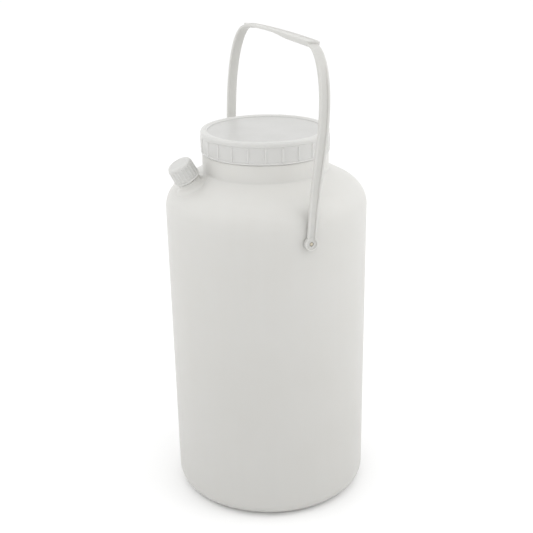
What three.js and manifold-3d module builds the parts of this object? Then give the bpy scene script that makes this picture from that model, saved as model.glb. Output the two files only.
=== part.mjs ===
// Calf feeding bottle: a hollow four-litre bottle with a wide screwed lid, a small
// screwed spout on the shoulder and a strap bail handle that swings on two brass pins.
// Millimetres, +Z up. The origin is the centre of the standing ring, on the floor.
// The handle pivots lie along X and the spout points to -Y.
import * as THREE from 'three';
import { mergeVertices } from 'three/addons/utils/BufferGeometryUtils.js';
import Module from 'manifold-3d';

const wasm = await Module();
wasm.setup();

// ---------------------------------------------------------------- dimensions
const WALL = 1.8; // wall of the blown bottle
const GAP = 0.3; // smallest running gap between two pieces
const FACETS = 44; // facets round the bottle and the lid
const SMALL_FACETS = 24; // facets round the spout

// bottle body
const BASE_WALL_R = 77; // wall radius just above the base corner
const TOP_WALL_R = 78; // wall radius at the foot of the shoulder
const BASE_CORNER = 12; // radius of the corner between wall and base
const RING_OUTER_R = 65; // flat standing ring
const RING_INNER_R = 58;
const PUSH_UP = 5; // height of the hollow under the base
const SHOULDER_Z = 237; // where the wall turns into the shoulder
const SHOULDER_DEEP = 26; // the shoulder is a quarter ellipse, this far inwards
const SHOULDER_RISE = 22.6; // and this high
const SHOULDER_END = THREE.MathUtils.degToRad(58); // where it runs on as a cone
const COLLAR_R = 48.4; // plain collar below the lid
const COLLAR_TOP_Z = 279.1;
const FINISH_R = 44.4; // root of the neck thread
const MOUTH_R = 42.2; // bore of the mouth
const RIM_Z = 291.8; // sealing rim

// wide lid and its gasket
const LID_BOTTOM_Z = 279.4;
const LID_TOP_Z = 296.2;
const LID_PANEL_Z = 295.0; // recessed flat panel
const LID_SKIRT_R = 48.7;
const LID_RIB_R = 49.4;
const LID_INNER_R = 46.6;
const LID_CEILING_Z = 293.2;
const LID_RIBS = 24;
const LID_RIB_WIDE = 1.3;
const LID_RIB_TOP_Z = 291.6;
const FIRST_RIB = THREE.MathUtils.degToRad(-23.2);
const PLUG_R = 41.6; // ring that centres the lid in the mouth
const LID_PITCH = 6;
const LID_THREAD_Z = 282.6;
const LID_THREAD_TURNS = 1.15;

// spout, in its own frame: z along the spout from the outside of the shoulder
const SPOUT_LEAN = THREE.MathUtils.degToRad(28.5);
const SPOUT_FOOT_R = 60.6; // distance of the foot from the bottle axis
const SPOUT_TIP = 17.1;
const SPOUT_ROOT_R = 6.9;
const SPOUT_BEAD_R = 8.9; // plain bead below the cap
const SPOUT_FOOT_WIDE = 10.4; // radius of the foot on the shoulder
const SPOUT_BORE_R = 5.4;
const CAP_BOTTOM = 6.4;
const CAP_TOP = 20.1;
const CAP_R = 9.7; // at the bottom
const CAP_TAPER = 0.4; // how much less it is at the top
const CAP_RIB = 0.35; // height of a rib
const CAP_INNER_R = 8.4;
const CAP_CEILING = 18.6;
const CAP_RIBS = 18;
const CAP_PITCH = 3;
const CAP_THREAD_Z = 8.5;
const CAP_THREAD_TURNS = 1.9;

// bail handle, in its own frame: z along the legs from the pivot axis
const PIVOT_Z = 227.85;
const HANDLE_LEAN = THREE.MathUtils.degToRad(-4.9); // leans away from the spout
const STRAP_THICK = 3;
const STRAP_TOP_THICK = 1.8; // where it runs into the grip
const STRAP_WIDE = 7.5;
const STRAP_NECK = 7; // width just above the eye
const STRAP_WIDENS = [6, 70]; // heights between which it reaches its full width
const STRAP_THINS = [124, 137]; // and between which it thins towards the grip
const EYE_X = 79.9; // middle of the eye's thickness
const EYE_R = 5.1;
const EYE_RIM = 0.4; // height of the raised ring round the eye
const CHANNEL_DEEP = 0.9; // groove along the outer face of the strap
const CHANNEL_EDGE = 1.3; // width of the raised edge beside the groove
const CHANNEL_FADES = [110, 128]; // heights between which the groove runs out
const CHANNEL_LEAST = 0.05; // depth left where a groove has run out
const GRIP_HALF = 58;
const GRIP_WIDE = 10.2;
const GRIP_SHIFT = 1.2; // the grip sits this far off the line of the legs
const GRIP_TOP = 140.75;
const GRIP_SAG = 1;
const GRIP_CHANNEL = 0.6; // depth of the groove along its top
const GRIP_WEB = 1.6; // underside of the web between the two edges
const GRIP_EDGE = 1.9; // depth of the two edges on the left half
const GRIP_DEEPER = 1.9; // how much deeper they are at the right end
const DEEPER_FROM_X = -8; // where they start to deepen
const DEEPER_TO_X = 27;
const GRIP_END = 3; // the last stretch at each end is solid
const GRIP_TIP_WIDTH = 0.74; // width of the very tip, as a part of the full width
const GRIP_NEAR_TIP_WIDTH = 0.95; // and half a millimetre before it

// brass pivot pins
const PIN_R = 1.3;
const PIN_FOOT_R = 2;
const PIN_INNER_X = 72;
const PIN_STEP_X = 75.4;
const PIN_OUTER_X = 80.9;
const BOSS_INNER_X = 69; // boss inside the wall that the pin is moulded into
const BOSS_R = 5;

// ---------------------------------------------------------------- geometry helpers
function points(pairs) {
  return pairs.map(([x, y]) => new THREE.Vector2(x, y));
}

function revolve(pairs, facets) {
  // The profile runs anticlockwise in (radius, height), so the faces point out.
  const lathe = new THREE.LatheGeometry(points(pairs), facets);
  return lathe.rotateX(Math.PI / 2);
}

function ring(innerR, outerR, bottom, top, facets) {
  return revolve([[innerR, bottom], [outerR, bottom], [outerR, top], [innerR, top],
    [innerR, bottom]], facets);
}

function disc(radius, bottom, top, facets) {
  return revolve([[0, bottom], [radius, bottom], [radius, top], [0, top]], facets);
}

function toSolid(geometry) {
  const bare = geometry.clone();
  bare.deleteAttribute('normal');
  bare.deleteAttribute('uv');
  const merged = mergeVertices(bare, 1e-4);
  const all = merged.index.array;
  const kept = [];
  for (let i = 0; i < all.length; i += 3) {
    const [a, b, c] = [all[i], all[i + 1], all[i + 2]];
    if (a !== b && b !== c && c !== a) {
      kept.push(a, b, c);
    }
  }
  return new wasm.Manifold(new wasm.Mesh({
    numProp: 3,
    vertProperties: new Float32Array(merged.attributes.position.array),
    triVerts: new Uint32Array(kept),
  }));
}

function toGeometry(solid) {
  const mesh = solid.getMesh();
  const geometry = new THREE.BufferGeometry();
  const positions = new THREE.BufferAttribute(new Float32Array(mesh.vertProperties), 3);
  geometry.setAttribute('position', positions);
  geometry.setIndex(new THREE.BufferAttribute(new Uint32Array(mesh.triVerts), 1));
  geometry.computeVertexNormals();
  return geometry;
}

function signedVolume(loops, faces) {
  const flat = loops.flat();
  let total = 0;
  for (const [a, b, c] of faces) {
    total += flat[a].dot(new THREE.Vector3().crossVectors(flat[b], flat[c]));
  }
  return total;
}

// A closed body through a row of matching loops, with both ends closed off.
// `outline` is the same loop drawn flat, used only to divide the two end faces.
function loft(loops, outline) {
  const count = outline.length;
  const last = (loops.length - 1) * count;
  const faces = [];
  for (let row = 0; row + 1 < loops.length; row += 1) {
    for (let i = 0; i < count; i += 1) {
      const a = row * count + i;
      const b = row * count + (i + 1) % count;
      faces.push([a, b, b + count], [a, b + count, a + count]);
    }
  }
  for (const [a, b, c] of THREE.ShapeUtils.triangulateShape(outline, [])) {
    faces.push([c, b, a], [last + a, last + b, last + c]);
  }
  const flip = signedVolume(loops, faces) < 0;
  const geometry = new THREE.BufferGeometry();
  geometry.setFromPoints(loops.flat());
  geometry.setIndex(faces.flatMap(([a, b, c]) => (flip ? [a, c, b] : [a, b, c])));
  return geometry;
}

// A tapered screw thread round +Z. `root` is buried in the wall that carries it.
function thread({ root, crest, base, land, pitch, bottom, turns, start, facets }) {
  const steps = Math.ceil(turns * facets);
  const loops = [];
  for (let i = 0; i <= steps; i += 1) {
    const turn = (turns * i) / steps;
    const angle = start + turn * 2 * Math.PI;
    const fade = Math.min(1, Math.min(i, steps - i) / 3 + 0.15);
    const tip = root + (crest - root) * Math.max(fade, 0.45);
    const z = bottom + turn * pitch;
    const section = [[root, -base / 2], [tip, -land / 2], [tip, land / 2], [root, base / 2]];
    loops.push(section.map(([r, up]) => (
      new THREE.Vector3(r * Math.cos(angle), r * Math.sin(angle), z + up))));
  }
  return loft(loops, points([[0, -base / 2], [1, -land / 2], [1, land / 2], [0, base / 2]]));
}

function matte(color, roughness, metalness = 0) {
  return new THREE.MeshStandardMaterial({ color, roughness, metalness });
}

function piece(name, solid, material) {
  const mesh = new THREE.Mesh(toGeometry(solid), material);
  mesh.name = name;
  return mesh;
}

// ---------------------------------------------------------------- bottle body
function shoulderPoints(inset, steps) {
  const result = [];
  for (let i = 0; i <= steps; i += 1) {
    const angle = (SHOULDER_END * i) / steps;
    result.push([
      TOP_WALL_R - SHOULDER_DEEP + (SHOULDER_DEEP - inset) * Math.cos(angle),
      SHOULDER_Z + (SHOULDER_RISE - inset) * Math.sin(angle),
    ]);
  }
  return result;
}

function cornerPoints(inset, steps) {
  const centreR = BASE_WALL_R - BASE_CORNER;
  const result = [];
  for (let i = 0; i <= steps; i += 1) {
    const angle = -Math.PI / 2 + (Math.PI / 2) * (i / steps);
    result.push([
      centreR + (BASE_CORNER - inset) * Math.cos(angle),
      BASE_CORNER + (BASE_CORNER - inset) * Math.sin(angle),
    ]);
  }
  return result;
}

// Outside of the shoulder cone at a given radius.
const CONE_SLOPE = (SHOULDER_RISE * Math.cos(SHOULDER_END))
  / (SHOULDER_DEEP * Math.sin(SHOULDER_END));
const CONE_R = TOP_WALL_R - SHOULDER_DEEP * (1 - Math.cos(SHOULDER_END));
const CONE_Z = SHOULDER_Z + SHOULDER_RISE * Math.sin(SHOULDER_END);
function coneZ(radius) {
  return CONE_Z + CONE_SLOPE * (CONE_R - radius);
}

function spoutFrame() {
  const frame = new THREE.Matrix4().makeRotationX(SPOUT_LEAN);
  return frame.setPosition(0, -SPOUT_FOOT_R, coneZ(SPOUT_FOOT_R));
}

function pinBore(side) {
  const bore = toSolid(revolve([
    [0, PIN_INNER_X - GAP], [PIN_FOOT_R + GAP, PIN_INNER_X - GAP],
    [PIN_FOOT_R + GAP, PIN_STEP_X + GAP], [PIN_R + GAP, PIN_STEP_X + GAP],
    [PIN_R + GAP, TOP_WALL_R + 4], [0, TOP_WALL_R + 4],
  ], 16).rotateY((side * Math.PI) / 2).translate(0, 0, PIVOT_Z));
  return bore;
}

function pinBoss(side) {
  return toSolid(revolve([
    [0, BOSS_INNER_X], [BOSS_R, BOSS_INNER_X], [BOSS_R + 1.2, BOSS_INNER_X + 1.2],
    [BOSS_R + 1.8, TOP_WALL_R - 1], [0, TOP_WALL_R - 1],
  ], 20).rotateY((side * Math.PI) / 2).translate(0, 0, PIVOT_Z));
}

function bottleBody() {
  const outside = [
    [0, PUSH_UP], [RING_INNER_R - 12, PUSH_UP - 0.8], [RING_INNER_R, 0], [RING_OUTER_R, 0],
    ...cornerPoints(0, 4).slice(1),
    ...shoulderPoints(0, 6),
    [COLLAR_R + 3, coneZ(COLLAR_R + 3)], [COLLAR_R + 1.1, coneZ(COLLAR_R) + 0.2],
    [COLLAR_R + 0.2, coneZ(COLLAR_R) + 1.4], [COLLAR_R, coneZ(COLLAR_R) + 3.2],
    [COLLAR_R, COLLAR_TOP_Z - 0.5], [COLLAR_R - 0.5, COLLAR_TOP_Z],
    [FINISH_R, COLLAR_TOP_Z], [FINISH_R, RIM_Z - 0.5], [FINISH_R - 0.5, RIM_Z],
    [MOUTH_R, RIM_Z],
  ];
  const inside = [
    [0, PUSH_UP + WALL], [RING_INNER_R - 12, PUSH_UP - 0.8 + WALL],
    [RING_INNER_R, WALL], [RING_OUTER_R, WALL],
    ...cornerPoints(WALL, 3).slice(1),
    ...shoulderPoints(WALL, 4),
    [COLLAR_R - WALL + 1.4, coneZ(COLLAR_R + 1.4) - WALL * 1.1],
    [COLLAR_R - WALL, coneZ(COLLAR_R) + 1.5],
    [COLLAR_R - WALL, COLLAR_TOP_Z - 6], [MOUTH_R, COLLAR_TOP_Z - 1],
  ];
  const shell = toSolid(revolve([...outside, ...inside.reverse()], FACETS));

  const neckThread = toSolid(thread({
    root: FINISH_R - 0.5, crest: FINISH_R + 1.6, base: 2.2, land: 1.1, pitch: LID_PITCH,
    bottom: LID_THREAD_Z, turns: LID_THREAD_TURNS, start: 0, facets: 24,
  }));

  let body = shell.add(neckThread).subtract(spoutBore());
  for (const side of [-1, 1]) {
    body = body.add(pinBoss(side)).subtract(pinBore(side));
  }
  return body;
}

// ---------------------------------------------------------------- spout
function spoutBore() {
  const bore = disc(SPOUT_BORE_R, -8, SPOUT_TIP + 2, SMALL_FACETS);
  return toSolid(bore.applyMatrix4(spoutFrame()));
}

// Everything below a surface that runs one gap above the shoulder.
function belowShoulder() {
  const rise = GAP * Math.hypot(1, CONE_SLOPE);
  return toSolid(revolve([
    [0, SHOULDER_Z - 20], [TOP_WALL_R + GAP, SHOULDER_Z - 20],
    ...shoulderPoints(-GAP, 6), [0, coneZ(0) + rise],
  ], FACETS));
}

// The spout stands on the shoulder: foot, neck, bead and thread in one.
function bottleSpout() {
  const wall = toSolid(revolve([
    [0, -3], [SPOUT_FOOT_WIDE, -3], [SPOUT_FOOT_WIDE, 0.3], [SPOUT_FOOT_WIDE - 0.4, 0.8],
    [SPOUT_FOOT_WIDE - 0.9, 1.6], [SPOUT_BEAD_R + 0.1, 3], [SPOUT_BEAD_R, 4.4],
    [SPOUT_BEAD_R, 5.5], [SPOUT_ROOT_R, 5.9], [SPOUT_ROOT_R, SPOUT_TIP - 0.4],
    [SPOUT_ROOT_R - 0.4, SPOUT_TIP], [0, SPOUT_TIP],
  ], SMALL_FACETS).applyMatrix4(spoutFrame()));
  const screw = toSolid(thread({
    root: SPOUT_ROOT_R - 0.4, crest: SPOUT_ROOT_R + 1.1, base: 1.1, land: 0.5,
    pitch: CAP_PITCH, bottom: CAP_THREAD_Z, turns: CAP_THREAD_TURNS, start: 0, facets: 16,
  }).applyMatrix4(spoutFrame()));
  return wall.add(screw).subtract(belowShoulder()).subtract(spoutBore());
}

// ---------------------------------------------------------------- lid and spout cap
// An upright rib with an arched top, standing on a skirt of the given radius.
// `taper` is how much closer to the axis its top stands than its bottom.
function uprightRib({ wide, bottom, top, innerR, outerR, angle, taper = 0 }) {
  const half = wide / 2;
  const shape = new THREE.Shape();
  shape.moveTo(-half, bottom);
  shape.lineTo(half, bottom);
  shape.lineTo(half, top - half);
  shape.absarc(0, top - half, half, 0, Math.PI, false);
  const rib = new THREE.ExtrudeGeometry(shape, {
    depth: outerR - innerR, bevelEnabled: false, curveSegments: 3,
  });
  rib.rotateX(Math.PI / 2);
  rib.rotateZ(Math.PI / 2);
  rib.translate(innerR, 0, 0);
  const shear = new THREE.Matrix4().makeShear(0, 0, 0, 0, -taper / (top - bottom), 0);
  rib.translate(0, 0, -bottom).applyMatrix4(shear).translate(0, 0, bottom);
  return toSolid(rib.rotateZ(angle));
}

function wideLid() {
  const skirt = toSolid(revolve([
    [0, LID_CEILING_Z], [PLUG_R - 1.4, LID_CEILING_Z], [PLUG_R - 1.2, RIM_Z - 2],
    [PLUG_R - 0.3, RIM_Z - 2], [PLUG_R, RIM_Z - 1.2], [PLUG_R, LID_CEILING_Z],
    [LID_INNER_R, LID_CEILING_Z], [LID_INNER_R, LID_BOTTOM_Z],
    [LID_SKIRT_R + 0.3, LID_BOTTOM_Z], [LID_SKIRT_R + 0.6, LID_BOTTOM_Z + 0.4],
    [LID_SKIRT_R + 0.5, LID_BOTTOM_Z + 1.1], [LID_SKIRT_R, LID_BOTTOM_Z + 1.4],
    [LID_SKIRT_R, LID_RIB_TOP_Z + 0.8], [LID_SKIRT_R + 0.4, LID_RIB_TOP_Z + 1.1],
    [LID_SKIRT_R + 0.4, LID_TOP_Z - 1.4], [LID_SKIRT_R - 0.1, LID_TOP_Z - 0.4],
    [LID_SKIRT_R - 1, LID_TOP_Z], [LID_SKIRT_R - 2.6, LID_TOP_Z],
    [LID_SKIRT_R - 3.4, LID_TOP_Z - 0.5], [LID_SKIRT_R - 4.6, LID_TOP_Z - 0.6],
    [LID_SKIRT_R - 5, LID_PANEL_Z], [0, LID_PANEL_Z],
  ], FACETS));
  const innerThread = toSolid(thread({
    root: LID_INNER_R + 0.5, crest: LID_INNER_R - 1.5, base: 2.2, land: 1.1,
    pitch: LID_PITCH, bottom: LID_THREAD_Z, turns: LID_THREAD_TURNS, start: Math.PI,
    facets: 24,
  }));
  let lid = skirt.add(innerThread);
  for (let i = 0; i < LID_RIBS; i += 1) {
    lid = lid.add(uprightRib({
      wide: LID_RIB_WIDE, bottom: LID_BOTTOM_Z + 0.7, top: LID_RIB_TOP_Z,
      innerR: LID_SKIRT_R - 0.9, outerR: LID_RIB_R,
      angle: FIRST_RIB + (i * 2 * Math.PI) / LID_RIBS,
    }));
  }
  return lid;
}

function lidGasket() {
  return toSolid(ring(PLUG_R + 0.4, LID_INNER_R - 0.4, RIM_Z + GAP, LID_CEILING_Z - GAP, FACETS));
}

function spoutCap() {
  const topR = CAP_R - CAP_TAPER;
  const shell = toSolid(revolve([
    [0, CAP_CEILING], [CAP_INNER_R, CAP_CEILING], [CAP_INNER_R, CAP_BOTTOM],
    [CAP_R + 0.4, CAP_BOTTOM], [CAP_R + 0.6, CAP_BOTTOM + 0.4],
    [CAP_R + 0.5, CAP_BOTTOM + 1.1], [CAP_R, CAP_BOTTOM + 1.4],
    [topR, CAP_TOP - 1.8], [topR - 0.25, CAP_TOP - 0.9], [topR - 0.8, CAP_TOP - 0.25],
    [topR - 1.7, CAP_TOP], [0, CAP_TOP],
  ], SMALL_FACETS));
  const innerThread = toSolid(thread({
    root: CAP_INNER_R + 0.3, crest: CAP_INNER_R - 1.1, base: 1.1, land: 0.5,
    pitch: CAP_PITCH, bottom: CAP_THREAD_Z, turns: CAP_THREAD_TURNS, start: Math.PI,
    facets: 16,
  }));
  let cap = shell.add(innerThread);
  for (let i = 0; i < CAP_RIBS; i += 1) {
    cap = cap.add(uprightRib({
      wide: 1.2, bottom: CAP_BOTTOM + 0.7, top: CAP_TOP - 1.6, innerR: CAP_R - 0.7,
      outerR: CAP_R + CAP_RIB, angle: (i * 2 * Math.PI) / CAP_RIBS, taper: CAP_TAPER,
    }));
  }
  return cap;
}

function spoutLiner() {
  return toSolid(disc(CAP_INNER_R - 0.8, SPOUT_TIP + GAP, CAP_CEILING - GAP, SMALL_FACETS));
}

// ---------------------------------------------------------------- bail handle
// The strap's section: flat inside, a groove between two raised edges outside.
function strapOutline(wide, thick, groove) {
  const half = wide / 2;
  const back = thick / 2;
  const floor = back - groove;
  const lip = half - CHANNEL_EDGE;
  return points([
    [-half + 0.4, -back], [half - 0.4, -back], [half, -back + 0.4], [half, back],
    [lip, back], [lip - 0.3, floor], [-lip + 0.3, floor], [-lip, back], [-half, back],
    [-half, -back + 0.4],
  ]);
}

function smooth(from, to, at) {
  const t = THREE.MathUtils.clamp((at - from) / (to - from), 0, 1);
  return t * t * (3 - 2 * t);
}

function strapWidth(height) {
  return STRAP_NECK + (STRAP_WIDE - STRAP_NECK) * smooth(...STRAP_WIDENS, height);
}

function handleLeg(side) {
  const path = new THREE.CatmullRomCurve3([
    new THREE.Vector3(EYE_X, 0, 2.6),
    new THREE.Vector3(EYE_X, 0, 14),
    new THREE.Vector3(80.6, 0, 40),
    new THREE.Vector3(83.5, 0, 70),
    new THREE.Vector3(84.5, 0, 90),
    new THREE.Vector3(81.5, 0, 110),
    new THREE.Vector3(74.3, 0, 126),
    new THREE.Vector3(65, 0, 134.8),
    new THREE.Vector3(54, 0, 137.9),
    new THREE.Vector3(44, 0, 139),
  ]);
  const steps = 18;
  const loops = [];
  for (let i = 0; i <= steps; i += 1) {
    const at = path.getPointAt(i / steps);
    const along = path.getTangentAt(i / steps);
    const out = new THREE.Vector3(along.z, 0, -along.x);
    const thin = smooth(...STRAP_THINS, at.z);
    const thick = STRAP_THICK + (STRAP_TOP_THICK - STRAP_THICK) * thin;
    const faded = smooth(...CHANNEL_FADES, at.z);
    const groove = CHANNEL_DEEP - (CHANNEL_DEEP - CHANNEL_LEAST) * faded;
    loops.push(strapOutline(strapWidth(at.z), thick, groove).map(({ x, y }) => (
      new THREE.Vector3(side * (at.x + out.x * y), x, at.z + out.z * y))));
  }
  return toSolid(loft(loops, strapOutline(STRAP_WIDE, STRAP_THICK, CHANNEL_DEEP)));
}

function handleEye(side) {
  const inner = EYE_X - STRAP_THICK / 2;
  const outer = EYE_X + STRAP_THICK / 2;
  const floor = outer - CHANNEL_DEEP + 0.3;
  return toSolid(revolve([
    [0, inner], [EYE_R - 0.3, inner], [EYE_R, inner + 0.3], [EYE_R, outer + EYE_RIM - 0.2],
    [EYE_R - 0.2, outer + EYE_RIM], [EYE_R - 1.1, outer + EYE_RIM], [EYE_R - 1.4, floor],
    [0, floor],
  ], 20).rotateY((side * Math.PI) / 2));
}

// The grip's section: a flat web between two edges, grooved above and below.
function gripOutline({ wide, edge, channel, web }) {
  const half = wide / 2;
  return points([
    [-half + 0.3, -edge], [-half + 1.2, -edge], [-half + 1.4, -web], [half - 1.4, -web],
    [half - 1.2, -edge], [half - 0.3, -edge], [half, -edge + 0.4], [half, -0.4],
    [half - 0.4, 0], [half - 1.2, 0], [half - 1.5, -channel], [-half + 1.5, -channel],
    [-half + 1.2, 0], [-half + 0.4, 0], [-half, -0.4], [-half, -edge + 0.4],
  ]);
}

function gripSection(x) {
  const near = GRIP_HALF - Math.abs(x);
  const edge = GRIP_EDGE + GRIP_DEEPER * smooth(DEEPER_FROM_X, DEEPER_TO_X, x);
  const hollow = smooth(GRIP_END - 0.6, GRIP_END + 0.6, near);
  let narrowing = 1;
  if (near < 1) narrowing = GRIP_NEAR_TIP_WIDTH;
  if (near < 0.1) narrowing = GRIP_TIP_WIDTH;
  return gripOutline({
    wide: GRIP_WIDE * narrowing,
    edge,
    channel: CHANNEL_LEAST + (GRIP_CHANNEL - CHANNEL_LEAST) * hollow,
    web: edge - CHANNEL_LEAST + (GRIP_WEB - edge + CHANNEL_LEAST) * hollow,
  });
}

function handleGrip() {
  const steps = 14;
  const inner = GRIP_HALF - GRIP_END - 0.7;
  const ends = [GRIP_HALF, GRIP_HALF - 0.5, GRIP_HALF - 1.6, GRIP_HALF - GRIP_END + 0.7];
  const stations = ends.map((x) => -x);
  for (let i = 0; i <= steps; i += 1) stations.push(-inner + (2 * inner * i) / steps);
  stations.push(...ends.reverse());
  const loops = stations.map((x) => {
    const top = GRIP_TOP - GRIP_SAG * (x / GRIP_HALF) ** 2;
    return gripSection(x).map((p) => new THREE.Vector3(x, GRIP_SHIFT + p.x, top + p.y));
  });
  return toSolid(loft(loops, gripSection(GRIP_HALF)));
}

function bailHandle() {
  let handle = handleGrip();
  for (const side of [-1, 1]) {
    const hole = toSolid(disc(PIN_R + GAP, EYE_X - 6, EYE_X + 6, 20)
      .rotateY((side * Math.PI) / 2));
    handle = handle.add(handleLeg(side)).add(handleEye(side)).subtract(hole);
  }
  return handle;
}

function pivotPin(side) {
  return toSolid(revolve([
    [0, PIN_INNER_X], [PIN_FOOT_R, PIN_INNER_X], [PIN_FOOT_R, PIN_STEP_X],
    [PIN_R, PIN_STEP_X], [PIN_R, PIN_OUTER_X - 0.5], [PIN_R - 0.25, PIN_OUTER_X - 0.15],
    [PIN_R - 0.7, PIN_OUTER_X], [0, PIN_OUTER_X],
  ], 20).rotateY((side * Math.PI) / 2));
}

// ---------------------------------------------------------------- assembly
const object = new THREE.Group();
object.add(piece('bottle_body', bottleBody(), matte(0xd6d5d0, 0.45)));
object.add(piece('bottle_spout', bottleSpout(), matte(0xd6d5d0, 0.45)));
object.add(piece('wide_lid', wideLid(), matte(0xdadad9, 0.32)));
object.add(piece('lid_gasket', lidGasket(), matte(0xe8e6e0, 0.8)));

const spout = new THREE.Group();
spout.applyMatrix4(spoutFrame());
spout.add(piece('spout_cap', spoutCap(), matte(0xd8d8d5, 0.35)));
spout.add(piece('spout_cap_liner', spoutLiner(), matte(0xe8e6e0, 0.8)));
object.add(spout);

const pivots = new THREE.Group();
pivots.position.z = PIVOT_Z;
pivots.add(piece('handle_pivot_pin_left', pivotPin(-1), matte(0xb8934a, 0.3, 1)));
pivots.add(piece('handle_pivot_pin_right', pivotPin(1), matte(0xb8934a, 0.3, 1)));
object.add(pivots);

const bail = new THREE.Group();
bail.position.z = PIVOT_Z;
bail.rotation.x = HANDLE_LEAN;
bail.add(piece('bail_handle', bailHandle(), matte(0xd2d2ce, 0.4)));
object.add(bail);

export default object;
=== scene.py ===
"""Calf feeding bottle: detailed pieces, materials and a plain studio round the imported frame."""

import math

import bmesh
import bpy
from mathutils import Matrix, Vector


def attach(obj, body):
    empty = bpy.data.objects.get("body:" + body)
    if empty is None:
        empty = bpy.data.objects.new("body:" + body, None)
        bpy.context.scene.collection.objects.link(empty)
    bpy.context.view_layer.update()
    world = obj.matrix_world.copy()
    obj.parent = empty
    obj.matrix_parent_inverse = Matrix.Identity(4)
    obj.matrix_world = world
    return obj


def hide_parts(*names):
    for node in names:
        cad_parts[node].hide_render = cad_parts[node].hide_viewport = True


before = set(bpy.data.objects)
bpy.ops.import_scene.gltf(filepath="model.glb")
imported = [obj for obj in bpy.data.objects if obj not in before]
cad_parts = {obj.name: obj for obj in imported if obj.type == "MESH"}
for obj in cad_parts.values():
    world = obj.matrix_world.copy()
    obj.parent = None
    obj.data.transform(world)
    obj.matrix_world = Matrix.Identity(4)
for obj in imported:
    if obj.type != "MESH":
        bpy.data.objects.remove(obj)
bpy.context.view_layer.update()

MM = 0.001
TAU = 2 * math.pi

# ------------------------------------------------------------------ dimensions, millimetres
GAP = 0.3  # round the pins, and above and below the two seals

# bottle body
WALL = 1.8
WALL_R_TOP = 77.86  # wall radius at the foot of the shoulder
WALL_R_BASE = 76.86  # and just above the base corner
BASE_CORNER = 12.0
RING_OUTER = 65.0  # flat standing ring
RING_INNER = 58.0
PUSH_UP = 5.0  # height of the hollow under the base
PUSH_UP_FLAT_R = 44.0  # radius of its nearly flat middle
PUSH_UP_FALL = 0.6  # how far that middle falls towards its edge
SHOULDER_Z = 237.0  # where the wall turns into the shoulder
SHOULDER_DEEP = 26.0  # the shoulder follows an ellipse, this far inwards
SHOULDER_RISE = 22.6  # and this high
SHOULDER_END = math.radians(58)  # where it runs on as a cone
CONE_SLOPE = SHOULDER_RISE * math.cos(SHOULDER_END) / (SHOULDER_DEEP * math.sin(SHOULDER_END))
CONE_R = WALL_R_TOP - SHOULDER_DEEP * (1 - math.cos(SHOULDER_END))
CONE_Z = SHOULDER_Z + SHOULDER_RISE * math.sin(SHOULDER_END)
CONE_WALL = WALL * 1.13  # wall of the cone, measured upright
COLLAR_R = 48.4  # plain collar below the lid
COLLAR_TOP = 279.1
FINISH_R = 44.4  # root of the neck thread
MOUTH_R = 42.2
RIM_Z = 291.8  # sealing rim
PARTING_HIGH = 0.1  # height of the mould's parting line
PARTING_CREST = 0.001  # half the width of its crest, as an angle
PARTING_FOOT = 0.004  # and of its foot

# wide lid
LID_BOTTOM = 279.4
LID_TOP = 296.2
LID_PANEL = 295.0  # recessed flat panel
LID_RIM_WIDE = 4.95  # raised rim round the panel
LID_SKIRT_R = 48.65
LID_RIB_HIGH = 0.62
LID_RIB_WIDE = 1.3
LID_RIB_TOP = 291.6
LID_INNER_R = 46.6
LID_CEILING = 293.2
LID_RIBS = 24
FIRST_RIB = math.radians(-23.2)
PLUG_R = 41.6  # ring that centres the lid in the mouth
LID_PITCH = 6.0
LID_THREAD = (2.2, 1.1)  # height of the thread's ridge at its root and near its crest
LID_THREAD_Z = 282.6
LID_TURNS = 1.15

# spout and its cap, in the spout's frame: +Z along the spout from the shoulder
SPOUT_LEAN = math.radians(28.5)
SPOUT_FOOT_R = 60.6  # distance of the foot from the bottle's axis
SPOUT_SKIRT_R = 13.6  # radius of the skirt that blends into the shoulder
SPOUT_SUNK = 1.1  # how deep the skirt reaches into the shoulder's wall
SPOUT_TIP = 17.1
SPOUT_ROOT_R = 6.9
SPOUT_BEAD_R = 8.85
SPOUT_BORE_R = 5.4
CAP_BOTTOM = 6.4
CAP_TOP = 20.1
CAP_R = 9.7
CAP_TAPER = 0.4  # how much smaller the cap's radius is at its top
CAP_EDGE = 1.6  # radius of its rounded top edge
CAP_DISH = 0.2  # how far its middle is sunk
CAP_RIB_HIGH = 0.3
CAP_RIB_WIDE = 1.1
CAP_INNER_R = 8.4
CAP_CEILING = 18.6
CAP_RIBS = 22
CAP_PITCH = 3.0
CAP_THREAD = (1.1, 0.5)  # height of the thread's ridge at its root and near its crest
CAP_THREAD_Z = 8.5
CAP_TURNS = 1.9

# bail handle, in its own frame: heights run from the pivot up along the legs
PIVOT_Z = 227.85
HANDLE_LEAN = math.radians(-4.9)
STRAP_THICK = 3.0
STRAP_TOP_THICK = 1.8  # where it runs into the grip
STRAP_WIDE = 7.5
STRAP_NECK = 7.0  # width just above the eye
STRAP_WIDENS = (6, 70)  # heights between which it reaches its full width
STRAP_THINS = (124, 137)  # and between which it thins towards the grip
EYE_X = 79.9  # middle of the eye's thickness
EYE_R = 5.1
EYE_RIM = 0.4  # height of the raised ring round the eye
EYE_FLOOR_RISE = 0.3  # the eye's floor lies this far above the groove's
CHANNEL_DEEP = 0.9  # groove along the outer face of the strap
CHANNEL_EDGE = 1.5  # width of the raised edge beside the groove
CHANNEL_FADES = (110, 128)  # heights between which the groove runs out
CHANNEL_LEAST = 0.05  # depth left where a groove has run out
GRIP_HALF = 58.0
GRIP_WIDE = 10.2
GRIP_TIP_WIDTH = 0.76  # width of the grip's ends, as a part of the full width
GRIP_TIP_LONG = 2.2  # length over which it widens to the full width
GRIP_SHIFT = 1.2  # the grip sits this far off the line of the legs
GRIP_TOP = 140.75
GRIP_SAG = 1.0
GRIP_CHANNEL = 0.6  # depth of the groove along its top
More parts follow.
